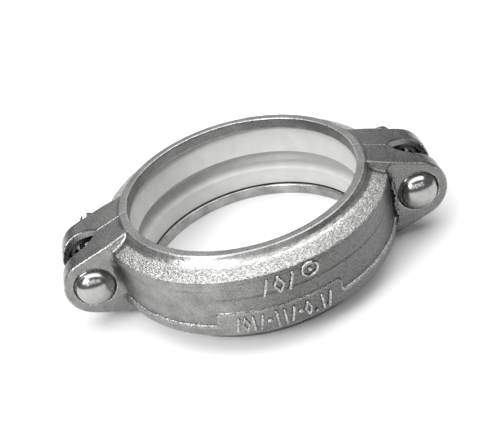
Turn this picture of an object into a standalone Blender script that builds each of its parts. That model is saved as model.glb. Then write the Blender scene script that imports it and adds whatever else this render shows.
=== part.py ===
"""Grooved pipe coupling for 114.3 mm (4 inch) pipe, built as its seven loose pieces.

The pipe axis is +Z, the bolt line is X, and the two half housings part on the plane Y = 0.
The front half (bolt heads) is on the -Y side and the back half (nuts) on the +Y side.
The origin is the centre of the bore, half way across the width of the housing.
"""

import math

import bmesh
import bpy

MM = 0.001
GAP = 0.3 * MM                      # clearance that touching pieces keep

# Ring of the housing: radii about the pipe axis, heights along it
KEY_RADIUS = 55.5 * MM              # inside edge that drops into the pipe groove
CAVITY_RADIUS = 65.0 * MM           # back of the gasket chamber
CAVITY_HALF = 17.3 * MM             # half the width of the gasket chamber
CAVITY_CHAMFER = 3.8 * MM           # its slanted outer corners
HALF_WIDTH = 23.6 * MM
NECK_RADIUS = 59.0 * MM             # outside of the collar over each key, at its face
NECK_FOOT_RADIUS = 60.6 * MM        # and where it meets the sloped shoulder
NECK_FOOT = 20.5 * MM
BODY_RADIUS = 69.2 * MM             # outside of the body at the end of the sloped shoulder
SHOULDER_FOOT = 16.3 * MM
BODY_DRAFT = 0.5 * MM               # how much the body draws in from the shoulder down to the band
BAND_RADIUS = 70.2 * MM             # prouder band round the lower edge, at its top
BAND_FOOT_RADIUS = 69.2 * MM        # and at its foot
BAND_TOP = -7.1 * MM
BAND_FOOT = -13.0 * MM
BAND_STEP = 0.3 * MM
EDGE = 0.5 * MM                     # broken edges of the casting
RING_STEPS = 96

# Raised label pad on the middle of each half, flush with the band
PAD_RADIUS = 70.0 * MM
PAD_TOP = -0.6 * MM
PAD_HALF_ANGLE = math.radians(24)
PAD_STEPS = 14

# Bolt lugs: a tapered tongue with a round end, seen along the bolt
BOLT_X = 79.6 * MM
LUG_END_X = 78.9 * MM
LUG_END_RADIUS = 15.2 * MM
LUG_SLOPE = math.radians(19)
LUG_ROOT_X = 57.6 * MM
LUG_INNER_X = 50.0 * MM             # hidden inside the ring
LUG_FACE = 18.5 * MM                # distance of the seat side from the parting plane
LUG_WALL = 3.8 * MM
POCKET_X = 70.5 * MM
POCKET_DEPTH = 12.5 * MM
RELIEF_X = 86.5 * MM                # round relief that opens the outer end of the lugs
RELIEF_Y = 8.5 * MM
RELIEF_RADIUS = 16.5 * MM
SPOTFACE_RADIUS = 10.7 * MM
SPOTFACE_DEPTH = 1.5 * MM
SEAT = LUG_FACE - SPOTFACE_DEPTH

# Oval-neck track bolts, M10, and their hexagon nuts
THREAD_RADIUS = 4.85 * MM
SHANK_RADIUS = 4.6 * MM
SHANK_LENGTH = 24.0 * MM
BOLT_LENGTH = 60.0 * MM             # under the head
HEAD_RADIUS = 9.9 * MM
HEAD_HEIGHT = 7.2 * MM
HEAD_RIM = 0.9 * MM
NECK_LONG = 15.2 * MM
NECK_SHORT = 10.6 * MM
NECK_DEPTH = 5.0 * MM
HOLE_PLAY = 0.8 * MM
THREAD_TIP = 1.0 * MM
DOME_STEPS = 8
NUT_ACROSS_FLATS = 17.0 * MM
NUT_HEIGHT = 9.5 * MM
NUT_BORE_RADIUS = 5.2 * MM
NUT_CHAMFER = 0.4 * MM
NUT_TURN = {"left": math.radians(8), "right": math.radians(-21)}

# Gasket: a C section with two lips that press on the pipe
GASKET_RADIUS = CAVITY_RADIUS - GAP
GASKET_HALF = CAVITY_HALF - GAP
LIP_ROOT_RADIUS = 58.2 * MM
LIP_TIP_RADIUS = 56.3 * MM
LIP_TIPS = (2.8 * MM, 7.2 * MM)      # heights of the lips' edges above and below the middle
GASKET_WALL_RADIUS = 61.2 * MM
GASKET_CHAMFER = CAVITY_CHAMFER - GAP / 2
LIP_ROUND = 1.2 * MM
GASKET_STEPS = 72

SIDES = {"left": -1, "right": 1}


def clear_scene():
    for old in list(bpy.data.objects):
        bpy.data.objects.remove(old, do_unlink=True)


def collection(name):
    made = bpy.data.collections.new(name)
    bpy.context.scene.collection.children.link(made)
    return made


def material(name, colour, roughness, metallic):
    made = bpy.data.materials.new(name)
    made.use_nodes = True
    shader = made.node_tree.nodes["Principled BSDF"]
    shader.inputs["Base Color"].default_value = (*colour, 1)
    shader.inputs["Roughness"].default_value = roughness
    shader.inputs["Metallic"].default_value = metallic
    return made


def arc(x, y, radius, start, end, steps):
    """Points from one angle to another round a centre, both ends included."""
    angles = (math.radians(start + (end - start) * i / steps) for i in range(steps + 1))
    return [(x + radius * math.cos(a), y + radius * math.sin(a)) for a in angles]


def add_object(name, mesh, group):
    made = bpy.data.objects.new(name, mesh)
    group.objects.link(made)
    return made


def turned(name, profile, group, steps, closed=False):
    """A profile of (radius, height) points, top to bottom on its outer side, turned about Z."""
    mesh = bpy.data.meshes.new(name)
    count = len(profile)
    edges = [(i, i + 1) for i in range(count - 1)]
    if closed:
        edges.append((count - 1, 0))
    mesh.from_pydata([(radius, 0, height) for radius, height in profile], edges, [])
    made = add_object(name, mesh, group)
    screw = made.modifiers.new("turn", "SCREW")
    screw.steps = steps
    screw.render_steps = steps
    screw.use_merge_vertices = True
    screw.merge_threshold = 0.00001
    return made


def plate(name, outline, thickness, group):
    """A flat outline in X and Y, made solid by half the thickness on each side of Z = 0."""
    curve = bpy.data.curves.new(name, "CURVE")
    curve.dimensions = "2D"
    curve.fill_mode = "BOTH"
    curve.extrude = thickness / 2
    spline = curve.splines.new("POLY")
    spline.points.add(len(outline) - 1)
    for point, (x, y) in zip(spline.points, outline):
        point.co = (x, y, 0, 1)
    spline.use_cyclic_u = True
    drawn = bpy.data.objects.new(name + "_curve", curve)
    group.objects.link(drawn)
    bpy.context.view_layer.update()
    evaluated = drawn.evaluated_get(bpy.context.evaluated_depsgraph_get())
    mesh = bpy.data.meshes.new_from_object(evaluated)
    body = bmesh.new()
    body.from_mesh(mesh)
    bmesh.ops.remove_doubles(body, verts=body.verts, dist=0.00001)
    bmesh.ops.recalc_face_normals(body, faces=body.faces)
    body.to_mesh(mesh)
    body.free()
    bpy.data.objects.remove(drawn, do_unlink=True)
    return add_object(name, mesh, group)


def box(name, low, high, group):
    mesh = bpy.data.meshes.new(name)
    body = bmesh.new()
    bmesh.ops.create_cube(body, size=1)
    for vertex in body.verts:
        for axis in range(3):
            middle = (low[axis] + high[axis]) / 2
            vertex.co[axis] = middle + vertex.co[axis] * (high[axis] - low[axis])
    body.to_mesh(mesh)
    body.free()
    return add_object(name, mesh, group)


def cylinder(name, radius, depth, sides, group):
    """A cylinder about Z, centred on its object's origin."""
    mesh = bpy.data.meshes.new(name)
    body = bmesh.new()
    bmesh.ops.create_cone(body, cap_ends=True, segments=sides, radius1=radius, radius2=radius, depth=depth)
    body.to_mesh(mesh)
    body.free()
    return add_object(name, mesh, group)


def sector(name, inner, outer, low, high, half_angle, steps, group):
    """A block between two radii and two heights, swept to both sides of the -Y direction."""
    mesh = bpy.data.meshes.new(name)
    body = bmesh.new()
    start = -math.pi / 2 - half_angle
    corners = [(inner, low), (outer, low), (outer, high), (inner, high)]
    ring = [body.verts.new((r * math.cos(start), r * math.sin(start), z)) for r, z in corners]
    face = body.faces.new(ring)
    bmesh.ops.spin(body, geom=[face, *face.verts, *face.edges], angle=2 * half_angle, steps=steps,
                   axis=(0, 0, 1), cent=(0, 0, 0))
    bmesh.ops.recalc_face_normals(body, faces=body.faces)
    body.to_mesh(mesh)
    body.free()
    return add_object(name, mesh, group)


def combine(target, tool, operation):
    change = target.modifiers.new(tool.name, "BOOLEAN")
    change.operation = operation
    change.solver = "EXACT"
    change.object = tool
    tool.hide_render = True
    tool.display_type = "WIRE"


def finish(piece, finish_material, angle=30):
    """Replace the piece's construction with its result, give it its material and shade it."""
    bpy.context.view_layer.update()
    evaluated = piece.evaluated_get(bpy.context.evaluated_depsgraph_get())
    mesh = bpy.data.meshes.new_from_object(evaluated)
    mesh.name = piece.name
    piece.modifiers.clear()
    piece.data = mesh
    mesh.materials.clear()
    mesh.materials.append(finish_material)
    mesh.shade_smooth()
    mesh.set_sharp_from_angle(angle=math.radians(angle))


def outer_profile():
    """Outside of the ring, from the axis at the top to the axis at the bottom."""
    top = HALF_WIDTH
    return [
        (0, top),
        (NECK_RADIUS - EDGE, top),
        (NECK_RADIUS, top - EDGE),
        (NECK_FOOT_RADIUS, NECK_FOOT),
        (BODY_RADIUS - EDGE, SHOULDER_FOOT + EDGE / 2),
        (BODY_RADIUS, SHOULDER_FOOT - EDGE / 2),
        (BODY_RADIUS - BODY_DRAFT, BAND_TOP),
        (BAND_RADIUS, BAND_TOP - BAND_STEP),
        (BAND_FOOT_RADIUS, BAND_FOOT),
        (NECK_FOOT_RADIUS, -NECK_FOOT),
        (NECK_RADIUS, EDGE - top),
        (NECK_RADIUS - EDGE, -top),
        (0, -top),
    ]


def inner_profile():
    """Bore, keys and gasket chamber, running past both ends of the ring."""
    past = HALF_WIDTH + EDGE
    upper = [
        (0, past),
        (KEY_RADIUS + 2 * EDGE, past),
        (KEY_RADIUS, past - 2 * EDGE),
        (KEY_RADIUS, CAVITY_HALF),
        (CAVITY_RADIUS - CAVITY_CHAMFER, CAVITY_HALF),
        (CAVITY_RADIUS, CAVITY_HALF - CAVITY_CHAMFER),
    ]
    return upper + [(radius, -height) for radius, height in reversed(upper)]


def lug_outline(inset, root_x, steps, inner_corner=()):
    """The tongue seen along the bolt, in X and Z: inset from its surface, cut off at root_x.

    An inner corner, where given, carries the shape on into the ring.
    """
    turn = 90 - math.degrees(LUG_SLOPE)
    end = arc(LUG_END_X, 0, LUG_END_RADIUS - inset, -turn, turn, steps)
    tangent_x, tangent_z = end[-1]
    root_z = tangent_z + (tangent_x - root_x) * math.tan(LUG_SLOPE)
    upper = [(root_x, root_z), *inner_corner]
    return end + upper + [(x, -z) for x, z in reversed(upper)]


def place_across(piece, x, y, turn=0.0):
    """Stand a piece that was drawn about Z along the bolt, with its top towards +Y."""
    piece.rotation_euler = (-math.pi / 2, turn, 0)
    piece.location = (x, y, 0)


def half_housing(name, parts, cutters, finish_material):
    """The front casting: its seat side is at -Y and its parting faces at +Y."""
    ring = turned(name, outer_profile(), parts, RING_STEPS)
    pad = sector(name + "_pad", NECK_RADIUS, PAD_RADIUS, BAND_TOP - 2 * EDGE, PAD_TOP,
                 PAD_HALF_ANGLE, PAD_STEPS, cutters)
    combine(ring, pad, "UNION")
    for side, sign in SIDES.items():
        outline = lug_outline(0, LUG_ROOT_X, 20, [(LUG_INNER_X, NECK_FOOT)])
        tongue = [(sign * x, z) for x, z in outline]
        lug = plate(name + "_" + side + "_lug", tongue, 2 * LUG_FACE, cutters)
        lug.rotation_euler = (math.pi / 2, 0, 0)
        combine(ring, lug, "UNION")

    reach = 2 * BOLT_X
    kept = box(name + "_half", (-reach, -reach, -reach), (reach, -GAP / 2, reach), cutters)
    combine(ring, kept, "INTERSECT")
    hollow = turned(name + "_bore", inner_profile(), cutters, RING_STEPS)
    combine(ring, hollow, "DIFFERENCE")

    for side, sign in SIDES.items():
        stem = name + "_" + side
        room = [(sign * x, z) for x, z in lug_outline(LUG_WALL, POCKET_X, 14)]
        pocket = plate(stem + "_pocket", room, 2 * POCKET_DEPTH, cutters)
        pocket.rotation_euler = (math.pi / 2, 0, 0)
        combine(ring, pocket, "DIFFERENCE")

        relief = cylinder(stem + "_relief", RELIEF_RADIUS, 3 * HALF_WIDTH, 48, cutters)
        relief.location = (sign * RELIEF_X, RELIEF_Y, 0)
        combine(ring, relief, "DIFFERENCE")

        seat = cylinder(stem + "_seat", SPOTFACE_RADIUS, 2 * SPOTFACE_DEPTH, 36, cutters)
        place_across(seat, sign * BOLT_X, -LUG_FACE)
        combine(ring, seat, "DIFFERENCE")

        hole = plate(stem + "_hole", oval(NECK_LONG + HOLE_PLAY, NECK_SHORT + HOLE_PLAY), LUG_FACE, cutters)
        place_across(hole, sign * BOLT_X, -LUG_FACE)
        combine(ring, hole, "DIFFERENCE")

    finish(ring, finish_material)
    return ring


def oval(length, width):
    """A slot shape, long in X, with round ends."""
    radius = width / 2
    offset = (length - width) / 2
    return arc(offset, 0, radius, -90, 90, 10) + arc(-offset, 0, radius, 90, 270, 10)


def bolt(side, parts, cutters, finish_material):
    """Track bolt: domed head, oval neck that stops it turning, plain shank and thread."""
    x = SIDES[side] * BOLT_X
    head_seat = -SEAT - GAP
    rise = HEAD_HEIGHT - HEAD_RIM
    angles = [math.radians(90 * i / DOME_STEPS) for i in range(DOME_STEPS)]
    dome = [(HEAD_RADIUS * math.cos(a), -HEAD_RIM - rise * math.sin(a)) for a in angles]
    profile = [
        (0, BOLT_LENGTH),
        (THREAD_RADIUS - THREAD_TIP, BOLT_LENGTH),
        (THREAD_RADIUS, BOLT_LENGTH - THREAD_TIP),
        (THREAD_RADIUS, SHANK_LENGTH + THREAD_TIP),
        (SHANK_RADIUS, SHANK_LENGTH),
        (SHANK_RADIUS, 0),
        (HEAD_RADIUS, 0),
        *dome,
        (0, -HEAD_HEIGHT),
    ]
    made = turned("bolt_" + side, profile, parts, 36)
    place_across(made, x, head_seat)
    neck_shape = oval(NECK_LONG, NECK_SHORT)
    neck = plate("bolt_" + side + "_neck", neck_shape, NECK_DEPTH + HEAD_RIM, cutters)
    place_across(neck, x, head_seat + (NECK_DEPTH - HEAD_RIM) / 2)
    combine(made, neck, "UNION")
    finish(made, finish_material)
    return made


def nut(side, parts, cutters, finish_material):
    """Hexagon nut, chamfered on both sides, with its origin on the bolt's axis."""
    name = "nut_" + side
    corner = NUT_ACROSS_FLATS / math.sqrt(3)
    made = cylinder(name, corner, NUT_HEIGHT, 6, parts)
    middle = SEAT + GAP + NUT_HEIGHT / 2
    half = NUT_HEIGHT / 2
    chamfer = corner - NUT_ACROSS_FLATS / 2 + NUT_CHAMFER
    drop = chamfer * math.tan(math.radians(30))
    rim = [
        (0, half),
        (corner - chamfer, half),
        (corner + EDGE, half - drop),
        (corner + EDGE, drop - half),
        (corner - chamfer, -half),
        (0, -half),
    ]
    barrel = turned(name + "_barrel", rim, cutters, 48)
    bore = cylinder(name + "_bore", NUT_BORE_RADIUS, 2 * NUT_HEIGHT, 36, cutters)
    place_across(made, SIDES[side] * BOLT_X, middle, NUT_TURN[side])
    for tool in (barrel, bore):
        place_across(tool, SIDES[side] * BOLT_X, middle)
    combine(made, barrel, "INTERSECT")
    combine(made, bore, "DIFFERENCE")
    finish(made, finish_material)
    return made


def lip_side(tip):
    """One side of the gasket's section, above the middle, with its lip's edge at that height."""
    return [
        (GASKET_RADIUS, GASKET_HALF - GASKET_CHAMFER),
        (GASKET_RADIUS - GASKET_CHAMFER, GASKET_HALF),
        (LIP_ROOT_RADIUS + LIP_ROUND, GASKET_HALF),
        (LIP_ROOT_RADIUS, GASKET_HALF - LIP_ROUND),
        (LIP_TIP_RADIUS, tip),
        (LIP_TIP_RADIUS + LIP_ROUND / 2, tip - LIP_ROUND / 2),
        (GASKET_WALL_RADIUS - LIP_ROUND, tip + LIP_ROUND),
        (GASKET_WALL_RADIUS, tip - LIP_ROUND / 2),
    ]


def gasket(parts, finish_material):
    """Pressure-responsive seal ring: flat back, two sides and two lips turned inwards."""
    above, below = LIP_TIPS
    upper = lip_side(above)
    lower = [(radius, -height) for radius, height in reversed(lip_side(below))]
    # The outer side runs top to bottom: back of the ring first, then round the lips and up
    profile = list(reversed(upper + lower))
    made = turned("gasket", profile, parts, GASKET_STEPS, closed=True)
    finish(made, finish_material, 40)
    return made


def turn_half_round(source, name, parts, finish_material):
    """The same casting turned half a turn about the pipe."""
    made = add_object(name, source.data.copy(), parts)
    made.rotation_euler = (0, 0, math.pi)
    made.data.materials.clear()
    made.data.materials.append(finish_material)
    return made


def main():
    clear_scene()
    parts = collection("pipe_coupling")
    cutters = collection("cutters")
    zinc_cast = material("zinc_casting", (0.50, 0.50, 0.50), 0.42, 0.9)
    zinc_bright = material("zinc_bolt", (0.72, 0.72, 0.71), 0.18, 1.0)
    silicone = material("white_silicone", (0.84, 0.84, 0.83), 0.45, 0.0)

    front = half_housing("housing_front", parts, cutters, zinc_cast)
    turn_half_round(front, "housing_back", parts, zinc_cast)
    gasket(parts, silicone)
    for side in SIDES:
        bolt(side, parts, cutters, zinc_bright)
        nut(side, parts, cutters, zinc_bright)


main()
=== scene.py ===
"""Looks of the grooved pipe coupling: fine castings, threads, gasket, finishes, stage and camera."""

import math

import bpy
import numpy as np
from mathutils import Matrix, Vector, noise


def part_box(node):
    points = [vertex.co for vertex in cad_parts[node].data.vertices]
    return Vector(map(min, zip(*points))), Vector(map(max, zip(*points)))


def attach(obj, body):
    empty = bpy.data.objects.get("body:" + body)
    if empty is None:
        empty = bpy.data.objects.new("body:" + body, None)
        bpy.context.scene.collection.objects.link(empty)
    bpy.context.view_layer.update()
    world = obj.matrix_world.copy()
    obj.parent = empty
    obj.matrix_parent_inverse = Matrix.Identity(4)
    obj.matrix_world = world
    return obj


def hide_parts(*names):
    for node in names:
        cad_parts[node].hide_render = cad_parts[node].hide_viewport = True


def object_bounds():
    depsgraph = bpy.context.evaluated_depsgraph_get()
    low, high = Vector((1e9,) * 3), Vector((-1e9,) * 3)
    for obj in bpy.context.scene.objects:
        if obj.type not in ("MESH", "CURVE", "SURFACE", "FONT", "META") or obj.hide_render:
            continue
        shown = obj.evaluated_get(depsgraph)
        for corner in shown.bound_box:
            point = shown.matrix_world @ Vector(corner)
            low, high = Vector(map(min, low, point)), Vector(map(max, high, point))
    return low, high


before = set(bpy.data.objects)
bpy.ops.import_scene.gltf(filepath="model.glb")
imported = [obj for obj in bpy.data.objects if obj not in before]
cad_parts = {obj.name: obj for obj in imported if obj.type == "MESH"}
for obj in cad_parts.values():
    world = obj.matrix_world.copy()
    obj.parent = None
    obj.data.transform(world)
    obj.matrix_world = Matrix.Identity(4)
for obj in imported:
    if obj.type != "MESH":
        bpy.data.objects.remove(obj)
CAD_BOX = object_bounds()

# Lengths below are in millimetres, and MM turns them into the frame's metres.
MM = 0.001
LOW, HIGH = (np.array(corner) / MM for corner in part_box("housing_front"))
HEAD_LOW, BOLT_HIGH = (np.array(corner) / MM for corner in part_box("bolt_right"))
NUT_LOW, NUT_HIGH = (np.array(corner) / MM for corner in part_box("nut_right"))
SEAL_HIGH = np.array(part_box("gasket")[1]) / MM

# Ring of the casting, worked out from the frame where a box gives it
HALF_WIDTH = HIGH[2]
BAND_RADIUS = -LOW[1]
PART_GAP = -HIGH[1]                     # the parting face stands this far from Y = 0
KEY_RADIUS = 55.5
CAVITY_RADIUS = SEAL_HIGH[0] + 0.3
CAVITY_HALF = SEAL_HIGH[2] + 0.3
CAVITY_CHAMFER = 3.8
NECK_RADIUS = 59.0
NECK_FOOT_RADIUS = 60.6
NECK_FOOT = 20.5
BODY_RADIUS = 69.2
BODY_DRAFT = 0.5
SHOULDER_FOOT = 16.3
LEDGE = -7.1
BAND_FOOT_RADIUS = 69.2
BAND_FOOT = -13.0
PAD_RADIUS = BAND_RADIUS - 0.15
PAD_TOP = -0.6
PAD_HALF_ANGLE = 24.0
SEAM_HIGH = 11.4                        # mould line left of the step, and right of it
SEAM_LOW = 6.7
SEAM_STEP = (-25.5, -22.7)               # where the line steps down, in degrees from -Y
SEAM_SHIFT = 0.35                       # the skin above the line stands proud by this much
SEAM_FADE = (22.0, 44.0)                # and fades away between these angles

# Bolt lugs
BOLT_X = (BOLT_HIGH[0] + HEAD_LOW[0]) / 2
LUG_END_RADIUS = 15.2
LUG_END_X = HIGH[0] - LUG_END_RADIUS
LUG_SLOPE = math.radians(19)
LUG_ROOT_X = 50.0
LUG_FILLET = 3.2
LUG_FACE = 18.5
LUG_FLARE_X = 69.0                      # nearer the ring than this the seat side leans forwards
LUG_FLARE = 0.4
ROOF_BEVEL_X = 72.0                     # from here towards the ring a bevel widens along the roof edge
ROOF_BEVEL = 0.11
LUG_WALL = 3.8
POCKET_X = 70.5
POCKET_DEPTH = 12.5
RELIEF_X, RELIEF_Y, RELIEF_RADIUS = 86.5, 8.5, 16.5
SPOT_RADIUS = 10.0
SEAT = LUG_FACE - 1.5
HOLE_LONG, HOLE_SHORT = 16.0, 11.4
FLASH_X, FLASH_Y = 67.4, 20.6

# Fasteners
THREAD_RADIUS = 4.9
THREAD_DEPTH = 0.85
PITCH = 1.5
SHANK_END = 7.0
HEAD_RADIUS = (BOLT_HIGH[0] - HEAD_LOW[0]) / 2 - 0.35


# ---------------------------------------------------------------- outlines

def rounded(corners, steps=4):
    """A closed outline of (x, y, fillet radius) corners with each corner turned into an arc."""
    points = []
    count = len(corners)
    for i, (x, y, radius) in enumerate(corners):
        here = np.array((x, y))
        back = np.array(corners[i - 1][:2]) - here
        ahead = np.array(corners[(i + 1) % count][:2]) - here
        back_length, ahead_length = np.linalg.norm(back), np.linalg.norm(ahead)
        back, ahead = back / back_length, ahead / ahead_length
        half = math.acos(np.clip(back @ ahead, -1, 1)) / 2
        if radius <= 0 or half > math.radians(89):
            points.append(tuple(here))
            continue
        cut = min(radius / math.tan(half), 0.45 * back_length, 0.45 * ahead_length)
        radius = cut * math.tan(half)
        centre = here + (back + ahead) / np.linalg.norm(back + ahead) * radius / math.sin(half)
        start, end = here + back * cut - centre, here + ahead * cut - centre
        turn = math.atan2(start[0] * end[1] - start[1] * end[0], start @ end)
        for k in range(steps + 1):
            a = turn * k / steps
            spin = np.array(((math.cos(a), -math.sin(a)), (math.sin(a), math.cos(a))))
            points.append(tuple(centre + spin @ start))
    return points


OUTER = rounded([
    (0, HALF_WIDTH, 0),
    (NECK_RADIUS + 0.4, HALF_WIDTH - 0.05, 0.45),
    (NECK_FOOT_RADIUS + 0.1, NECK_FOOT + 0.8, 3.0),
    (NECK_FOOT_RADIUS + 1.9, NECK_FOOT - 0.8, 4.5),
    (BODY_RADIUS, SHOULDER_FOOT, 0.8),
    (BODY_RADIUS - BODY_DRAFT, LEDGE + 0.2, 0.25),
    (BAND_RADIUS, LEDGE - 0.95, 0.5),
    (BAND_FOOT_RADIUS, BAND_FOOT, 1.2),
    (NECK_FOOT_RADIUS, -NECK_FOOT, 0.9),
    (NECK_RADIUS, -HALF_WIDTH, 1.0),
    (0, -HALF_WIDTH, 0),
])
INNER = rounded([
    (0, 2 * HALF_WIDTH, 0),
    (0, -2 * HALF_WIDTH, 0),
    (KEY_RADIUS, -2 * HALF_WIDTH, 0),
    (KEY_RADIUS, -CAVITY_HALF - 0.7, 1.0),
    (CAVITY_RADIUS - CAVITY_CHAMFER, -CAVITY_HALF - 0.3, 0.8),
    (CAVITY_RADIUS, CAVITY_CHAMFER - CAVITY_HALF, 0.8),
    (CAVITY_RADIUS, CAVITY_HALF - CAVITY_CHAMFER, 0.8),
    (CAVITY_RADIUS - CAVITY_CHAMFER, CAVITY_HALF, 0.8),
    (KEY_RADIUS, CAVITY_HALF, 0.5),
    (KEY_RADIUS, 2 * HALF_WIDTH, 0),
])


# ---------------------------------------------------------------- distance fields

def outline_distance(points, x, y):
    """Signed distance to a closed outline, negative inside."""
    nearest = None
    inside = None
    for i, (bx, by) in enumerate(points):
        ax, ay = points[i - 1]
        ex, ey = bx - ax, by - ay
        along = np.clip(((x - ax) * ex + (y - ay) * ey) / (ex * ex + ey * ey), 0, 1)
        gap = (x - ax - along * ex) ** 2 + (y - ay - along * ey) ** 2
        nearest = gap if nearest is None else np.minimum(nearest, gap)
        crossed = ((ay > y) != (by > y)) & (x < ex * (y - ay) / (ey if ey else 1e-9) + ax)
        inside = crossed if inside is None else inside ^ crossed
    return np.where(inside, -1, 1) * np.sqrt(nearest)


def join(a, b, fillet):
    """Union of two shapes with a concave fillet between them."""
    blend = np.maximum(fillet - np.abs(a - b), 0)
    return np.minimum(a, b) - blend * blend / (4 * fillet)


def cut(a, b, edge):
    """The first shape without the second, with the edge between them rounded."""
    blend = np.maximum(edge - np.abs(a + b), 0)
    return np.maximum(a, -b) + blend * blend / (4 * edge)


def within(a, b, edge):
    """What two shapes share, with the edge between them rounded."""
    return cut(a, -b, edge)


def tongue_distance(x, z, inset):
    """Distance to the tapered lug seen along the bolt: the hull of a large circle and a small one."""
    reach = LUG_END_X - LUG_ROOT_X
    small = LUG_END_RADIUS - inset
    large = small + reach * math.sin(LUG_SLOPE)
    across, out = np.abs(z), x - LUG_ROOT_X
    along = out * math.cos(LUG_SLOPE) - across * math.sin(LUG_SLOPE)
    flank = across * math.cos(LUG_SLOPE) + out * math.sin(LUG_SLOPE) - large
    past_end = np.hypot(across, out - reach) - small
    return np.where(along > reach * math.cos(LUG_SLOPE), past_end, flank)


def seam_height(azimuth):
    """Height of the mould line: level, with one slanted step down."""
    start, end = SEAM_STEP
    part = np.clip((azimuth - start) / (end - start), 0, 1)
    return SEAM_HIGH + (SEAM_LOW - SEAM_HIGH) * part * part * (3 - 2 * part)


def casting_distance(x, y, z):
    """Signed distance to the front half housing, in millimetres."""
    radius = np.hypot(x, y)
    azimuth = np.degrees(np.arctan2(x, -y))
    out = np.abs(x)
    height = np.abs(z)

    body = outline_distance(OUTER, radius, z)
    above = z - seam_height(azimuth)
    fade_start, fade_end = SEAM_FADE
    faded = np.clip((fade_end - azimuth) / (fade_end - fade_start), 0, 1)
    proud = np.clip(above / 0.5 + 0.5, 0, 1) * faded
    groove = 0.3 * np.exp(-(((above + 0.4) / 0.32) ** 2))
    on_wall = np.clip(radius - BODY_RADIUS + 2, 0, 1) * np.clip(SHOULDER_FOOT - 1.2 - z, 0, 1)
    body = body - (SEAM_SHIFT * proud - groove) * on_wall * (z > LEDGE + 1)

    pad = within(radius - PAD_RADIUS, z - PAD_TOP, 0.2)
    pad = within(pad, (radius - PAD_RADIUS) * 0.62 + (z - PAD_TOP) * 0.78 + 0.8, 0.2)
    pad = within(pad, radius * np.radians(np.abs(azimuth) - PAD_HALF_ANGLE), 0.4)
    pad = np.maximum(pad, np.maximum(LEDGE - 1 - z, BODY_RADIUS - 2 - radius))
    body = join(body, pad, 0.3)

    face = LUG_FACE + LUG_FLARE * np.clip(LUG_FLARE_X - out, 0, 14)
    flank = tongue_distance(out, z, 0)
    front = (-y - face) * 0.95
    bevel = flank * 0.8 + front * 0.6 + ROOF_BEVEL * np.maximum(ROOF_BEVEL_X - out, 0)
    tongue = within(within(flank, front, 0.9), bevel, 0.25)
    tongue = np.maximum(tongue, LUG_ROOT_X - out)
    corner = 0.86 * (-y - 18) + 0.51 * (height - 20) - 0.0488 * (67.6 - out)
    tongue = within(within(tongue, corner, 0.5), height - HALF_WIDTH, 0.8)
    fillet = LUG_FILLET * (1 - 0.75 * np.clip((height - 9) / 9, 0, 1))
    body = within(join(body, tongue, fillet), height - HALF_WIDTH, 0.4)

    body = cut(body, outline_distance(INNER, radius, z), 0.5)

    pocket = np.maximum(tongue_distance(out, z, LUG_WALL), POCKET_X - out)
    pocket = within(pocket, -y - POCKET_DEPTH, 1.5)
    body = cut(body, pocket, 0.6)
    relief = np.hypot(out - RELIEF_X, y - RELIEF_Y) - RELIEF_RADIUS
    body = cut(body, relief, 0.8)
    spot = np.maximum(np.hypot(out - BOLT_X, z) - SPOT_RADIUS, y + SEAT)
    body = cut(body, spot, 0.35)
    half_slot = (HOLE_LONG - HOLE_SHORT) / 2
    sideways = np.maximum(np.abs(out - BOLT_X) - half_slot, 0)
    body = cut(body, np.hypot(sideways, z) - HOLE_SHORT / 2, 0.4)
    return within(body, y + PART_GAP, 0.2)


# ---------------------------------------------------------------- meshes

def spaced(stops, step):
    """Grid lines from the first stop to the last, one on each stop, about a step apart."""
    lines = [stops[0]]
    for low, high in zip(stops, stops[1:]):
        count = max(1, round((high - low) / step))
        lines += [low + (high - low) * k / count for k in range(1, count + 1)]
    return np.array(lines)


def polar_to_space(phi, radius, z):
    return radius * np.cos(phi), -radius * np.sin(phi), z


def zero_surface(values, lines):
    """Points and quads of the surface where a field on a grid is zero, one point in a crossed cell."""
    shape = np.array(values.shape) - 1
    total = np.zeros((3, *shape))
    hits = np.zeros(shape, int)
    negative = values < 0
    crossings = []
    for axis in range(3):
        low = tuple(slice(0, -1) if a == axis else slice(None) for a in range(3))
        high = tuple(slice(1, None) if a == axis else slice(None) for a in range(3))
        i, j, k = np.nonzero(negative[low] != negative[high])
        start = (i, j, k)
        end = tuple(c + (a == axis) for a, c in enumerate(start))
        share = values[start] / (values[start] - values[end])
        place = [lines[a][start[a]] + share * (lines[a][end[a]] - lines[a][start[a]]) for a in range(3)]
        first, second = (a for a in range(3) if a != axis)
        cells = []
        for step_one, step_two in ((1, 1), (0, 1), (0, 0), (1, 0)):
            cell = [c.copy() for c in start]
            cell[first] -= step_one
            cell[second] -= step_two
            cells.append(tuple(cell))
            for a in range(3):
                np.add.at(total[a], tuple(cell), place[a])
            np.add.at(hits, tuple(cell), 1)
        crossings.append((axis, cells, negative[start]))
    used = hits > 0
    number = np.full(shape, -1)
    number[used] = np.arange(used.sum())
    points = (total / np.maximum(hits, 1))[:, used]
    quads = []
    for axis, cells, outward in crossings:
        quad = np.stack([number[cell] for cell in cells], axis=1)
        flip = outward == (axis == 1)
        quad[flip] = quad[flip][:, ::-1]
        quads.append(quad)
    return points, np.concatenate(quads)


def settle(distance, x, y, z, rounds=3):
    """Move points along the field's slope until they lie on its surface."""
    h = 0.02
    for _ in range(rounds):
        value = distance(x, y, z)
        slope = [
            (distance(x + h, y, z) - distance(x - h, y, z)) / (2 * h),
            (distance(x, y + h, z) - distance(x, y - h, z)) / (2 * h),
            (distance(x, y, z + h) - distance(x, y, z - h)) / (2 * h),
        ]
        steep = np.maximum(slope[0] ** 2 + slope[1] ** 2 + slope[2] ** 2, 0.3)
        step = np.clip(value / steep, -0.35, 0.35)
        x, y, z = x - step * slope[0], y - step * slope[1], z - step * slope[2]
    return x, y, z


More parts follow.
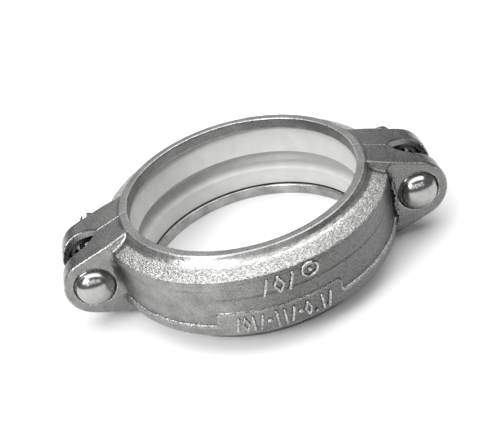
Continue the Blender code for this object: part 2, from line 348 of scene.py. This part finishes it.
def mesh_from(name, points, faces, sharp=None):
    """A mesh object from points in millimetres."""
    mesh = bpy.data.meshes.new(name)
    mesh.from_pydata((np.asarray(points) * MM).tolist(), [], [tuple(face) for face in faces])
    mesh.validate()
    mesh.shade_smooth()
    if sharp is not None:
        mesh.set_sharp_from_angle(angle=math.radians(sharp))
    made = bpy.data.objects.new(name, mesh)
    bpy.context.scene.collection.objects.link(made)
    return made


def read_vectors(rows, key):
    """One vector for each vertex of a mesh, as rows of three numbers."""
    flat = np.empty(len(rows) * 3)
    rows.foreach_get(key, flat)
    return flat.reshape(-1, 3)


def note(mesh, name, values):
    """Keep one number for each vertex, for the finish to read."""
    mesh.attributes.new(name, "FLOAT", "POINT").data.foreach_set("value", values)


def lathe(name, rings, place, sharp=None):
    """A closed body from rings of (radius, height) at each angle, with a fan at each end.

    Each ring is a pair of arrays; place turns (radius * cos, radius * sin, height) into x, y, z.
    """
    count = len(rings[0][0])
    angles = np.arange(count) * math.tau / count
    points = []
    for radius, height in rings:
        points.append(np.stack(place(radius * np.cos(angles), radius * np.sin(angles), height), axis=1))
    faces = []
    for row in range(len(rings) - 1):
        for k in range(count):
            ahead = (k + 1) % count
            base, above = row * count, (row + 1) * count
            faces.append((base + k, above + k, above + ahead, base + ahead))
    ends = []
    for row, turn in ((0, 1), (len(rings) - 1, -1)):
        ends.append(points[row].mean(axis=0))
        tip = len(rings) * count + len(ends) - 1
        for k in range(count):
            faces.append((row * count + k, row * count + (k + 1) % count, tip)[::turn])
    return mesh_from(name, np.concatenate([*points, np.array(ends)]), faces, sharp)


def hoop(name, outline, count, place, sharp=None):
    """A closed ring: an outline of (radius, height) arrays swept once round the axis."""
    angles = np.arange(count) * math.tau / count
    rows = len(outline)
    points = np.concatenate([
        np.stack(place(radius * np.cos(angles), radius * np.sin(angles), height), axis=1)
        for radius, height in outline
    ])
    faces = []
    for row in range(rows):
        following = (row + 1) % rows
        for k in range(count):
            ahead = (k + 1) % count
            faces.append((row * count + k, following * count + k,
                          following * count + ahead, row * count + ahead))
    return mesh_from(name, points, faces, sharp)


# ---------------------------------------------------------------- castings

def smooth_step(low, high, value):
    part = np.clip((value - low) / (high - low), 0, 1)
    return part * part * (3 - 2 * part)


def casting_points():
    """The front half housing, meshed on a grid that is round the pipe and finer at the lugs."""
    coarse = 1.0
    lug_turn = math.radians(20)
    phi = np.concatenate([
        spaced([math.radians(a) for a in (-0.5, 0, 0.9)], math.radians(0.3)),
        spaced([math.radians(0.9), lug_turn], math.radians(0.46 * coarse))[1:],
        spaced([lug_turn, math.pi / 2], math.radians(0.74 * coarse))[1:],
    ])
    phi = np.concatenate([phi, math.pi - phi[-2::-1]])
    far = math.hypot(HIGH[0], LUG_FACE) + 1
    radius = spaced([KEY_RADIUS - 1, KEY_RADIUS - 0.1, NECK_RADIUS + 0.6, CAVITY_RADIUS, BODY_RADIUS - 1,
                     BAND_RADIUS + 0.6, far], 0.58 * coarse)
    seam = [SEAM_LOW - 0.6, SEAM_LOW, SEAM_LOW + 0.6, SEAM_HIGH - 0.6, SEAM_HIGH, SEAM_HIGH + 0.6]
    z = spaced([-HALF_WIDTH - 1, -HALF_WIDTH + 0.3, -NECK_FOOT, -CAVITY_HALF, BAND_FOOT, LEDGE - 0.6,
                LEDGE + 0.3, PAD_TOP - 0.5, PAD_TOP + 0.3, *seam, SHOULDER_FOOT, CAVITY_HALF, NECK_FOOT,
                HALF_WIDTH - 0.3, HALF_WIDTH + 1], 0.58 * coarse)
    x, y, height = polar_to_space(phi[:, None, None], radius[None, :, None], z[None, None, :])
    values = np.broadcast_to(casting_distance(x, y, height), (len(phi), len(radius), len(z)))
    points, quads = zero_surface(np.ascontiguousarray(values), (phi, radius, z))
    return settle(casting_distance, *polar_to_space(*points)), quads


def sand_swell(points, seed):
    """Height of the uneven sand-cast skin at each point, in millimetres."""
    shift = Vector((seed * 31.7, seed * 17.3, seed * 9.1))
    swell = np.empty(len(points))
    for i, point in enumerate(points):
        here = Vector(point)
        swell[i] = (0.055 * noise.noise(here / 5.5 + shift) + 0.045 * noise.noise(here / 2.1 - shift)
                    + 0.03 * noise.noise(here / 0.95 + shift))
    return swell


def rub_and_highlight(mesh, low, high, share=1.0):
    """Mark how much each point of a mesh stands out of its neighbours, where handling rubs it bright and
    where a highlight is painted along the edges.
    """
    points = read_vectors(mesh.vertices, "co")
    normals = read_vectors(mesh.vertex_normals, "vector")
    pairs = np.empty(len(mesh.edges) * 2, int)
    mesh.edges.foreach_get("vertices", pairs)
    pairs = pairs.reshape(-1, 2)
    total = np.zeros(len(points))
    count = np.zeros(len(points))
    for here, there in ((0, 1), (1, 0)):
        step = points[pairs[:, there]] - points[pairs[:, here]]
        fall = -(step * normals[pairs[:, here]]).sum(axis=1) / np.linalg.norm(step, axis=1)
        np.add.at(total, pairs[:, here], fall)
        np.add.at(count, pairs[:, here], 1)
    note(mesh, "edge", smooth_step(low, high, total / np.maximum(count, 1)) * share)


def half_housing(name, shape, quads, turn, seed):
    """One casting with its uneven skin, and what the finish needs to know of each point on it.

    The notes are grain (how sandy), frost (how pale), painted shade and light (how much darker or paler a
    point is painted for the light that falls on it) and edge (how worn, and how much painted edge highlight).
    """
    x, y, z = shape
    out, deep = np.abs(x), np.abs(y)
    radius = np.hypot(x, y)
    made = mesh_from(name, np.stack([turn * x, turn * y, z], axis=1), quads)
    mesh = made.data
    points = read_vectors(mesh.vertices, "co") / MM
    normals = read_vectors(mesh.vertex_normals, "vector")
    inward = -(normals[:, 0] * points[:, 0] + normals[:, 1] * points[:, 1]) / radius

    shoulder = smooth_step(0.5, 0.8, np.abs(normals[:, 2])) * smooth_step(-0.15, -0.3, inward)
    shoulder *= smooth_step(NECK_RADIUS - 0.4, NECK_RADIUS + 1.2, radius)
    shoulder *= smooth_step(LUG_FACE + 1.5, LUG_FACE + 4.5, deep)
    skin = shoulder * smooth_step(NECK_RADIUS + 2.6, NECK_RADIUS + 5.4, radius) + 0.22
    skin *= smooth_step(KEY_RADIUS - 0.2, KEY_RADIUS + 1.5, radius) * 0.8 + 0.2
    swell = sand_swell(points, seed) * (0.7 + 1.5 * shoulder)
    moved = (points + normals * swell[:, None]) * MM
    mesh.vertices.foreach_set("co", moved.ravel())
    note(mesh, "grain", skin)
    note(mesh, "frost", shoulder)

    # Painted light and shade: the wall is painted darker on one side and paler on the other, the lower key
    # and the neck wall are painted paler, and the pockets are painted dark as shade.
    azimuth = np.degrees(np.arctan2(x, -y))
    wall = smooth_step(BODY_RADIUS - 2, BODY_RADIUS - 1.2, radius)
    side = wall * (1 - shoulder) * smooth_step(LUG_FACE - 3, LUG_FACE + 4, deep)
    # Painted light: the lower key is painted paler, against the shade of the ring.
    lower_key = smooth_step(KEY_RADIUS + 1.2, KEY_RADIUS + 0.4, radius) * (z < -CAVITY_HALF)
    # Painted light: the neck wall is painted paler, to take out its shade.
    neck = smooth_step(0.5, 0.8, -inward) * smooth_step(NECK_FOOT - 0.5, NECK_FOOT + 0.5, z)
    # Painted shade: the insides of the lug pockets are painted dark, as the shade in them.
    pocket = smooth_step(0.4, 0.1, tongue_distance(out, z, LUG_WALL)) * (out > POCKET_X - 0.5)
    pocket *= smooth_step(POCKET_DEPTH + 1, POCKET_DEPTH, deep)
    # Painted light and shade: the wall is painted paler on its left and darker on its right, as the light
    # falls on it.
    painted_side_light_and_shade = side * (1.35 * smooth_step(-20, 8, azimuth) - 0.35)
    note(mesh, "painted_shade_and_light", painted_side_light_and_shade - 2.2 * lower_key - 1.6 * neck + 3 * pocket)
    mesh.update()

    # The pale edges, partly worn metal and partly a painted highlight, leave the flat of the wall alone, and
    # show little along the parting line.
    on_wall = wall * smooth_step(LUG_FACE + 3, LUG_FACE + 6, deep)
    on_wall *= smooth_step(LEDGE + 1.5, PAD_TOP + 1, z)
    on_wall *= smooth_step(SHOULDER_FOOT - 0.8, SHOULDER_FOOT - 2, z)
    rub_and_highlight(mesh, 0.1, 0.33, (1 - on_wall) * (0.25 + 0.75 * smooth_step(0.5, 1.5, deep)))
    return made


# ---------------------------------------------------------------- raised marks

def bar(along, up, length, width, lean):
    """Outline of a round-ended bar."""
    outline = []
    for k in range(16):
        a = math.tau * (k + 0.5) / 16
        end = 0.5 * (length - width) * (1 if math.sin(a) > 0 else -1)
        sideways, upward = width / 2 * math.cos(a), end + width / 2 * math.sin(a)
        outline.append((along + sideways * math.cos(lean) + upward * math.sin(lean),
                        up - sideways * math.sin(lean) + upward * math.cos(lean)))
    return outline


def mark_body(along, up, length, width, lean):
    """Points and faces of one raised bar, as (along, up, level): a bead with well drafted sides."""
    levels = [(0.0, -0.5), (0.0, 0.02), (0.14, 0.5), (0.32, 0.85), (0.55, 1.0)]
    points = []
    for inset, level in levels:
        points += [(*here, level) for here in bar(along, up, length - 2 * inset, width - 2 * inset, lean)]
    count = len(points) // len(levels)
    faces = []
    for row in range(len(levels) - 1):
        for k in range(count):
            ahead = (k + 1) % count
            faces.append((row * count + k, row * count + ahead, (row + 1) * count + ahead,
                          (row + 1) * count + k))
    faces.append(tuple(range(count))[::-1])
    faces.append(tuple(range((len(levels) - 1) * count, len(levels) * count)))
    return points, faces


def lozenge(along, up, wide, tall, width):
    """Four bars that make a diamond."""
    lean = math.atan2(wide, tall)
    length = math.hypot(wide, tall) / 2 + width * 0.7
    return [(along + sx * wide / 4, up + sz * tall / 4, length, width, -sx * sz * lean)
            for sx in (-1, 1) for sz in (-1, 1)]


def loop(along, up, wide, tall, width, count=12):
    """Short bars end to end round an oval."""
    bars = []
    for k in range(count):
        a = math.tau * k / count
        slant = math.atan2(-wide * math.sin(a), tall * math.cos(a))
        reach = math.pi * (wide + tall) / 2 / count + width * 0.75
        bars.append((along + wide / 2 * math.cos(a), up + tall / 2 * math.sin(a), reach, width, slant))
    return bars


def marks(name, turn):
    """Plain raised bars, diamonds, dots and a ring, where a foundry puts its marks."""
    tall, slim, middle, step = 8.2, 1.6, -6.9, 3.5
    row = "/<|/-||/-<.|/"
    low = []
    for k, sign in enumerate(row):
        along = (k - (len(row) - 1) / 2) * step + 0.6
        if sign == "|":
            low.append((along, middle, tall, slim, 0))
        elif sign == "/":
            low.append((along, middle, tall, slim, 0.25))
        elif sign == "-":
            low.append((along, middle, 2.6, slim, math.pi / 2))
        elif sign == "<":
            low += lozenge(along, middle, 2.8, tall - 1.5, slim * 0.9)
        else:
            low.append((along, middle - 3.2, 1.7, slim, 0))
    high = [(along, 10.0, 9.4, 1.7, 0.3) for along in (-4.7, 6.7)]
    high += lozenge(1.2, 10.0, 4.2, 8.2, 1.6)
    high += loop(15.6, 12.0, 7.2, 6.4, 1.5)
    high.append((15.6, 12.0, 2.4, 2.2, 0))
    points, faces, bright = [], [], []
    for radius, made in [(PAD_RADIUS, one) for one in low] + [(BODY_RADIUS, one) for one in high]:
        body, sides = mark_body(*made)
        base = len(points)
        for along, up, level in body:
            swell = SEAM_SHIFT - BODY_DRAFT * (SHOULDER_FOOT - up) / (SHOULDER_FOOT - LEDGE)
            out = radius + level + (swell if radius == BODY_RADIUS else 0)
            angle = along / radius
            points.append((turn * out * math.sin(angle), -turn * out * math.cos(angle), up))
            # The tops of the marks are painted paler: partly worn metal, partly a painted highlight.
            bright.append(min(max(level, 0), 0.5))
        faces += [tuple(base + i for i in side) for side in sides]
    made = mesh_from(name, points, faces, sharp=50)
    note(made.data, "edge", bright)
    note(made.data, "grain", np.full(len(points), 0.2))
    # Painted shade: the marks are painted as dark as the painted shade of the wall around them.
    note(made.data, "painted_shade_and_light", np.full(len(points), 1.0))
    return made


def flash_ridge(name):
    """The crooked ridge of mould flash left in the valley between the ring and the right lug."""
    def crooked(a, b, h):
        sideways = 0.45 * np.sin(0.55 * h) + 0.2 * np.sin(2.1 * h + 1)
        return FLASH_X + a + sideways, b - FLASH_Y + 0.15 * np.sin(0.9 * h), h

    rings = []
    for height in np.linspace(16.0, -15.0, 90):
        swell = math.sqrt(max(0.0, 1 - ((height - 0.5) / 15.5) ** 4))
        reach = 0.1 + swell * (0.75 + 0.2 * math.sin(1.7 * height) + 0.12 * math.sin(4.1 * height))
        rings.append(flat_ring(14, reach, height))
    made = lathe(name, rings, crooked)
    # Pale edges on the ridge: partly worn metal, partly a painted highlight.
    rub_and_highlight(made.data, 0.25, 0.6)
    note(made.data, "grain", np.full(len(made.data.vertices), 0.5))
    return made


# ---------------------------------------------------------------- fasteners

def flat_ring(count, radius, height):
    return np.full(count, float(radius)), np.full(count, float(height))


def oval_radius(angles, long, short, power=3.2):
    """Radius of a rounded oval, long along X, at each angle."""
    return (np.abs(np.cos(angles) / (long / 2)) ** power
            + np.abs(np.sin(angles) / (short / 2)) ** power) ** (-1 / power)


def thread_radius(angles, along, crest, depth):
    """Radius of a 60 degree thread with a flat root and a narrow crest."""
    turn = (along / PITCH - angles / math.tau) % 1
    tooth = np.clip((0.5 - np.abs(turn - 0.5)) * 2.3 - 0.15, 0, 1)
    return crest - depth + depth * tooth


def track_bolt(name, x):
    """Track bolt along Y: domed head with a thin flange, oval neck, shank and rolled thread.

    The painted shade note darkens the stretch between the lugs, as the shade inside the lug pockets.
    """
    count = 72
    angles = np.arange(count) * math.tau / count
    seat = -SEAT - 0.3
    top = HEAD_LOW[1]
    rise = seat - 0.9 - top
    rings = []
    dome = 22
    for k in range(1, dome + 1):
        a = math.pi / 2 * k / dome
        rings.append(flat_ring(count, (HEAD_RADIUS - 0.35) * math.sin(a), top + rise * (1 - math.cos(a))))
    rings.append(flat_ring(count, HEAD_RADIUS - 0.12, seat - 0.72))
    rings.append(flat_ring(count, HEAD_RADIUS, seat - 0.5))
    rings.append(flat_ring(count, HEAD_RADIUS, seat - 0.25))
    rings.append(flat_ring(count, HEAD_RADIUS - 0.25, seat))
    neck = oval_radius(angles, 15.2, 10.6)
    rings.append((neck + 0.5, np.full(count, seat)))
    rings.append((neck, np.full(count, seat + 0.5)))
    rings.append((neck, np.full(count, seat + 4.5)))
    rings.append((neck - 0.5, np.full(count, seat + 5.0)))
    rings.append(flat_ring(count, 4.9, seat + 5.2))
    rings.append(flat_ring(count, 4.62, seat + 5.6))
    end = BOLT_HIGH[1]
    runout = seat + SHANK_END + 5
    rings.append(flat_ring(count, 4.62, runout - 0.1))
    steps = round((end - runout) / (PITCH / 9))
    for k in range(steps):
        along = runout + (end - runout) * k / steps
        crest = min(THREAD_RADIUS, 3.9 + (end - along))
        depth = THREAD_DEPTH * min(1, (along - runout) / 1.5, max(0, (end - along) / 1.0))
        radius = thread_radius(angles, along, crest, depth)
        blend = min(1, (along - runout) / 1.5)
        rings.append((4.62 * (1 - blend) + radius * blend, np.full(count, along)))
    rings.append(flat_ring(count, 3.9, end - 0.03))
    rings.append(flat_ring(count, 3.55, end))
    made = lathe(name, rings, lambda a, b, h: (x + a, h, b), sharp=32)
    along = read_vectors(made.data.vertices, "co")[:, 1] / MM
    # Painted shade on the stretch of bolt inside the lug pockets.
    note(made.data, "painted_shade_and_light", 0.8 * smooth_step(-13, -11, along) * smooth_step(18, 16, along))
    return made


def head_dots(name, x):
    """Two small raised dots on a bolt head, where a maker would put a grade mark."""
    dome, top, rise = HEAD_RADIUS - 0.35, HEAD_LOW[1], -SEAT - 1.2 - HEAD_LOW[1]
    points, faces = [], []
    count = 16
    for along, up in ((-1.9, 5.9), (1.2, 6.2)):
        base = len(points)
        for radius, level in ((0.85, -0.3), (0.85, 0.02), (0.72, 0.2), (0.5, 0.28), (0.3, 0.2)):
            for k in range(count):
                a = math.tau * k / count
                here = along + radius * math.cos(a), up + radius * math.sin(a)
                depth = rise * (1 - math.sqrt(1 - (math.hypot(*here) / dome) ** 2))
                points.append((x + here[0], top + depth - level, here[1]))
        for row in range(4):
            for k in range(count):
                ahead = (k + 1) % count
                faces.append((base + row * count + k, base + row * count + ahead,
                              base + (row + 1) * count + ahead, base + (row + 1) * count + k))
        faces.append(tuple(base + k for k in range(count))[::-1])
        faces.append(tuple(base + 4 * count + k for k in range(count)))
    return mesh_from(name, points, faces, sharp=60)


def hex_nut(name, x, turn):
    """Hexagon nut along Y with washer face, 30 degree chamfers and a threaded bore."""
    count = 96
    flats, chamfer_radius = 17.0, 8.1
    low, high = NUT_LOW[1], NUT_HIGH[1]
    angles = np.arange(count) * math.tau / count
    off_flat = (angles - turn + math.pi / 6) % (math.pi / 3) - math.pi / 6
    hexagon = flats / 2 / np.cos(off_flat)
    hexagon = hexagon - 0.25 * smooth_step(0.42, 0.5236, np.abs(off_flat))
    fall = np.maximum(hexagon - chamfer_radius, 0) * math.tan(math.radians(30)) + 0.08
    bore = 5.2
    outline = [
        flat_ring(count, bore + 0.7, low),
        (np.minimum(hexagon, chamfer_radius), np.full(count, low)),
        (hexagon - 0.12, low + fall - 0.05),
        (hexagon, low + fall + 0.12),
        (hexagon, high - fall - 0.12),
        (hexagon - 0.12, high - fall + 0.05),
        (np.minimum(hexagon, chamfer_radius), np.full(count, high)),
        flat_ring(count, bore + 0.7, high),
    ]
    steps = 8 * round((high - low - 1.4) / PITCH)
    for k in range(steps + 1):
        along = high - 0.7 - (high - low - 1.4) * k / steps
        radius = bore + THREAD_DEPTH * 0.35 - thread_radius(angles, along, 0, 0.3)
        outline.append((np.maximum(radius - 0.3, bore - 0.02), np.full(count, along)))
    return hoop(name, outline, count, lambda a, b, h: (x + a, h, b), sharp=32)


# ---------------------------------------------------------------- gasket

def gasket_outline():
    """Cross-section of the C-shaped seal, in radius and height, from the upper lip outwards."""
    outer, half = SEAL_HIGH[0], SEAL_HIGH[2]
    return rounded([
        (62.3, 1.6, 1.5),
        (61.4, 4.4, 1.2),
        (57.1, 2.6, 0.35),
        (56.35, 2.8, 0.25),
        (56.7, 5.6, 3.0),
        (57.4, 13.6, 1.5),
        (58.6, half - 0.9, 1.2),
        (60.2, half, 0.8),
        (outer - CAVITY_CHAMFER + 0.15, half, 0.8),
        (outer, half - CAVITY_CHAMFER + 0.15, 0.8),
        (outer, CAVITY_CHAMFER - 0.15 - half, 0.8),
        (outer - CAVITY_CHAMFER + 0.15, -half, 0.8),
        (58.9, -half - 0.4, 0.6),
        (57.1, -half - 0.5, 0.45),
        (56.9, -10.0, 3.0),
        (56.5, -7.6, 1.3),
        (60.8, -5.4, 2.5),
        (62.3, -2.6, 2.5),
    ], steps=4)


def seal(name):
    """The white gasket, with a groove note that says how deep in its cavity each point lies, for the shade
    painted there.
    """
    count = 300
    rings = [flat_ring(count, radius, height) for radius, height in gasket_outline()]
    made = hoop(name, rings, count, lambda a, b, h: (a, b, h), sharp=50)
    radii = np.repeat([radius[0] for radius, height in rings], count)
    heights = np.repeat([height[0] for radius, height in rings], count)
    depth = smooth_step(58.5, 61.0, radii) * smooth_step(8.5, 6.5, np.abs(heights))
    # The groove note marks where shade is painted into the cavity.
    note(made.data, "groove", depth * smooth_step(-8.5, -6.0, heights))
    return made


# ---------------------------------------------------------------- finishes

class Finish:
    """A procedural material whose detail is laid out in the object's own metres."""

    def __init__(self, name, colour, metallic, roughness):
        self.material = bpy.data.materials.new(name)
        self.material.use_nodes = True
        self.nodes = self.material.node_tree.nodes
        self.links = self.material.node_tree.links
        self.shader = self.nodes["Principled BSDF"]
        self.shader.inputs["Base Color"].default_value = (*colour, 1)
        self.shader.inputs["Metallic"].default_value = metallic
        self.shader.inputs["Roughness"].default_value = roughness
        self.place = self.nodes.new("ShaderNodeTexCoord").outputs["Object"]

    def node(self, kind, inputs=(), **settings):
        made = self.nodes.new(kind)
        for key, value in settings.items():
            setattr(made, key, value)
        for key, value in dict(inputs).items():
            socket = made.inputs[key]
            if isinstance(key, str):
                socket = next(one for one in made.inputs if one.name == key and one.enabled)
            if isinstance(value, bpy.types.NodeSocket):
                self.links.new(value, socket)
            else:
                socket.default_value = value
        return made

    def noted(self, name):
        """The number that each vertex keeps under this name, or 0 where a piece has none."""
        return self.node("ShaderNodeAttribute", attribute_name=name).outputs["Fac"]

    def blend(self, share, first, second):
        """Colour that goes from the first to the second as the share goes from 0 to 1."""
        inputs = {"Factor": share, "A": first, "B": (*second, 1)}
        mixed = self.node("ShaderNodeMix", inputs, data_type="RGBA")
        return next(out for out in mixed.outputs if out.enabled)

    def grains(self, size, detail=2.0, place=None):
        """Noise with grains of about this size in millimetres, from 0 to 1."""
        inputs = {"Vector": place or self.place, "Scale": 1 / (size * MM), "Detail": detail}
        return self.node("ShaderNodeTexNoise", inputs).outputs["Fac"]

    def wrapped(self, radius, stretch):
        """A place that runs round the Z axis, so that grains come out longer that way by the stretch."""
        parts = self.node("ShaderNodeSeparateXYZ", {"Vector": self.place}).outputs
        angle = self.maths("ARCTAN2", parts["Y"], parts["X"])
        across = self.maths("MULTIPLY", parts["X"], parts["X"])
        deep = self.maths("MULTIPLY", parts["Y"], parts["Y"])
        reach = self.maths("SQRT", self.maths("ADD", across, deep))
        around = self.maths("MULTIPLY", angle, radius * MM / stretch)
        return self.node("ShaderNodeCombineXYZ", {"X": around, "Y": reach, "Z": parts["Z"]}).outputs["Vector"]

    def maths(self, operation, first, second=0.0):
        return self.node("ShaderNodeMath", {0: first, 1: second}, operation=operation).outputs[0]

    def spread(self, value, low, high, to_low, to_high):
        """Values between low and high spread out over a new range, and held at its ends."""
        inputs = {"Value": value, "From Min": low, "From Max": high, "To Min": to_low, "To Max": to_high}
        return self.node("ShaderNodeMapRange", inputs).outputs["Result"]

    def shade(self, value, dark, light):
        """Colour between two greys, or two colours, set by a value from 0 to 1."""
        ramp = self.node("ShaderNodeValToRGB", {"Fac": value})
        ramp.color_ramp.elements[0].color = (*dark, 1)
        ramp.color_ramp.elements[1].color = (*light, 1)
        return ramp.outputs["Color"]

    def bumps(self, *layers):
        """Chain of bumps, each a height from 0 to 1 and how many millimetres it stands for."""
        normal = None
        for height, reach in layers:
            inputs = {"Height": height, "Distance": reach * MM, "Strength": 1.0}
            if normal is not None:
                inputs["Normal"] = normal
            normal = self.node("ShaderNodeBump", inputs).outputs["Normal"]
        self.links.new(normal, self.shader.inputs["Normal"])

    def drive(self, socket, value):
        self.links.new(value, self.shader.inputs[socket])


def grey(level):
    return (level, level, level * 0.985)


def cast_zinc(name):
    """Zinc plate over a sand-cast skin: satin and mottled, coarse and frosty on the shoulders.

    Painted light and shade make it paler or darker as the light falls, and the edges show pale metal, partly
    worn and partly a painted highlight, with small pale worn specks.
    """
    finish = Finish(name, grey(0.5), 1.0, 0.4)
    grain, edge = finish.noted("grain"), finish.noted("edge")
    fine = finish.grains(0.42, 3.0)
    coarse = finish.grains(0.62, 3.0, finish.wrapped(BODY_RADIUS, 2.0))
    cloud = finish.grains(9.0, 3.0)
    speckle = finish.grains(0.5, 1.0)
    mottle = finish.maths("ADD", finish.maths("MULTIPLY", cloud, 0.4), finish.maths("MULTIPLY", speckle, 0.6))
    glitter = finish.maths("MULTIPLY", grain, finish.spread(coarse, 0.36, 0.64, -0.22, 0.22))
    plain = finish.maths("ADD", finish.spread(mottle, 0.36, 0.64, 0.1, 0.35), glitter)
    pale = finish.maths("ADD", plain, finish.maths("MULTIPLY", finish.noted("frost"), 0.46))
    # Painted light and shade: the note darkens the colour, or pales it where it is below zero.
    painted_shading = finish.maths("MULTIPLY", finish.noted("painted_shade_and_light"), finish.spread(cloud, 0.35, 0.65, 0.1, 0.22))
    skin = finish.shade(finish.maths("SUBTRACT", pale, painted_shading), grey(0.1), grey(0.6))
    # Pale edges: partly worn metal, partly a painted highlight along the edges; the pale specks are worn
    # metal.
    rubbed_and_highlit = finish.maths("MULTIPLY", edge, finish.spread(coarse, 0.4, 0.58, 0.25, 1.0))
    wear_and_highlight = finish.maths("MAXIMUM", rubbed_and_highlit, finish.spread(fine, 0.64, 0.72, 0.0, 0.35))
    finish.drive("Base Color", finish.blend(wear_and_highlight, skin, grey(0.95)))
    satin = finish.spread(coarse, 0.3, 0.7, 0.26, 0.38)
    satin = finish.maths("SUBTRACT", satin, finish.maths("MULTIPLY", grain, 0.08))
    finish.drive("Roughness", finish.maths("SUBTRACT", satin, finish.maths("MULTIPLY", wear_and_highlight, 0.06)))
    sand, pits = finish.maths("MULTIPLY", coarse, grain), finish.maths("MULTIPLY", fine, grain)
    finish.bumps((sand, 0.6), (pits, 0.25))
    return finish.material


def bright_zinc(name, level, roughness, dent):
    """Bright plated steel with faint handling dents and cloudiness, painted dark where the painted shade note
    is set.
    """
    finish = Finish(name, grey(level), 1.0, roughness)
    cloud = finish.spread(finish.grains(3.0, 4.0), 0.35, 0.65, 0, 1)
    fine = finish.grains(0.5, 2.0)
    tone = finish.shade(cloud, grey(level * 0.86), grey(level))
    # Painted shade: where the note is set, the colour goes to near black.
    finish.drive("Base Color", finish.blend(finish.noted("painted_shade_and_light"), tone, grey(0.05)))
    finish.drive("Roughness", finish.spread(fine, 0.3, 0.7, roughness * 0.75, roughness * 1.3))
    finish.bumps((finish.grains(4.5, 2.0), dent), (fine, dent * 0.04))
    return finish.material


def white_silicone(name):
    """Soft white rubber with a faint moulded texture and a little dust, painted darker in its groove as
    shade.
    """
    finish = Finish(name, (0.82, 0.82, 0.81), 0.0, 0.42)
    finish.shader.inputs["Subsurface Weight"].default_value = 0.04
    finish.shader.inputs["Subsurface Scale"].default_value = 0.002
    cloud = finish.spread(finish.grains(7.0, 4.0), 0.35, 0.65, 0.8, 1)
    # Painted shade: the groove note darkens the rubber in the cavity.
    tone = finish.maths("SUBTRACT", cloud, finish.maths("MULTIPLY", finish.noted("groove"), 0.8))
    finish.drive("Base Color", finish.shade(tone, (0.38, 0.38, 0.375), (0.6, 0.6, 0.59)))
    finish.drive("Roughness", finish.spread(finish.grains(2.5, 3.0), 0.3, 0.7, 0.36, 0.5))
    finish.bumps((finish.grains(3.0, 2.0), 0.05), (finish.grains(0.5, 2.0), 0.01))
    return finish.material


def paint(piece, material):
    piece.data.materials.clear()
    piece.data.materials.append(material)


# ---------------------------------------------------------------- pieces

casting_finish = cast_zinc("cast_zinc")
shape, quads = casting_points()
for half, turn, body, seed in (("front", 1, "front_half", 1), ("back", -1, "back_half", 2)):
    casting = half_housing("housing_" + half + "_casting", shape, quads, turn, seed)
    paint(casting, casting_finish)
    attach(casting, body)
    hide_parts("housing_" + half)
    raised = marks("housing_" + half + "_marks", turn)
    paint(raised, casting_finish)
    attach(raised, body)

bolt_finish = bright_zinc("bright_zinc_bolt", 0.4, 0.19, 0.05)
nut_finish = bright_zinc("bright_zinc_nut", 0.5, 0.27, 0.05)
for side, sign, nut_turn in (("left", -1, 8), ("right", 1, -21)):
    track = track_bolt("track_bolt_" + side, sign * BOLT_X)
    paint(track, bolt_finish)
    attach(track, "front_half")
    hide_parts("bolt_" + side)
    dots = head_dots("track_bolt_" + side + "_dots", sign * BOLT_X)
    paint(dots, bolt_finish)
    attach(dots, "front_half")
    hexagon = hex_nut("hex_nut_" + side, sign * BOLT_X, math.radians(nut_turn))
    paint(hexagon, nut_finish)
    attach(hexagon, side + "_nut")
    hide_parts("nut_" + side)

ridge = flash_ridge("casting_flash_ridge")
paint(ridge, casting_finish)
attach(ridge, "front_half")

ring = seal("c_gasket")
paint(ring, white_silicone("white_silicone_rubber"))
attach(ring, "seal_ring")
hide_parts("gasket")


# ---------------------------------------------------------------- stage, light and camera

def soft_box(name, size, place, target, radiance):
    """A square area light of that radiance, aimed at a point; sizes and places in metres."""
    light = bpy.data.lights.new(name, "AREA")
    light.shape = "RECTANGLE"
    light.size, light.size_y = size
    light.energy = radiance * math.pi * size[0] * size[1]
    lamp = bpy.data.objects.new(name, light)
    lamp.location = place
    lamp.rotation_euler = (Vector(target) - Vector(place)).to_track_quat("-Z", "Y").to_euler()
    bpy.context.scene.collection.objects.link(lamp)
    return lamp


floor_reach = 3.0 / MM
floor_height = CAD_BOX[0][2] / MM
floor_corners = [(sx * floor_reach, sy * floor_reach, floor_height)
                 for sx, sy in ((-1, -1), (1, -1), (1, 1), (-1, 1))]
floor = mesh_from("floor", floor_corners, [(0, 1, 2, 3)])
floor_finish = Finish("pale_floor", (0.84, 0.84, 0.84), 0.0, 0.8)
floor_finish.drive("Roughness", floor_finish.spread(floor_finish.grains(40.0, 2.0), 0.3, 0.7, 0.7, 0.9))
paint(floor, floor_finish.material)

soft_box("overhead_box", (1.3, 0.9), (0.04, 0.08, 0.75), (0.04, 0.08, 0), 2.8)
soft_box("left_key", (0.3, 0.3), (-0.5, -0.4, 0.45), (-0.22, -0.15, 0), 14.0)
soft_box("front_fill", (2.0, 0.5), (-0.1, -1.25, 0.75), (0.0, 0.0, 0.0), 1.3)
soft_box("back_fill", (1.6, 0.8), (0.0, 1.3, 0.75), (0.0, 0.0, 0.0), 1.15)

world = bpy.data.worlds.new("studio")
world.use_nodes = True
world.node_tree.nodes["Background"].inputs["Color"].default_value = (0.2, 0.2, 0.2, 1)
world.node_tree.nodes["Background"].inputs["Strength"].default_value = 1.0
bpy.context.scene.world = world
bpy.context.scene.view_settings.view_transform = "Standard"

azimuth, elevation, roll = (math.radians(a) for a in (-2.57, 33.44, -15.11))
distance = 0.469
back = Vector((math.sin(azimuth) * math.cos(elevation), -math.cos(azimuth) * math.cos(elevation),
               math.sin(elevation)))
level_right = Vector((math.cos(azimuth), math.sin(azimuth), 0))
level_up = back.cross(level_right)
right = math.cos(roll) * level_right + math.sin(roll) * level_up
up = math.cos(roll) * level_up - math.sin(roll) * level_right
camera = bpy.data.objects.new("camera", bpy.data.cameras.new("camera"))
camera.data.lens = 69.3
camera.data.sensor_width = 36.0
camera.data.shift_x = -0.0014
camera.data.shift_y = 0.007
camera.data.clip_start = 0.01
turned = Matrix((right, up, back)).transposed().to_4x4()
camera.matrix_world = Matrix.Translation(back * distance) @ turned
bpy.context.scene.collection.objects.link(camera)
bpy.context.scene.camera = camera
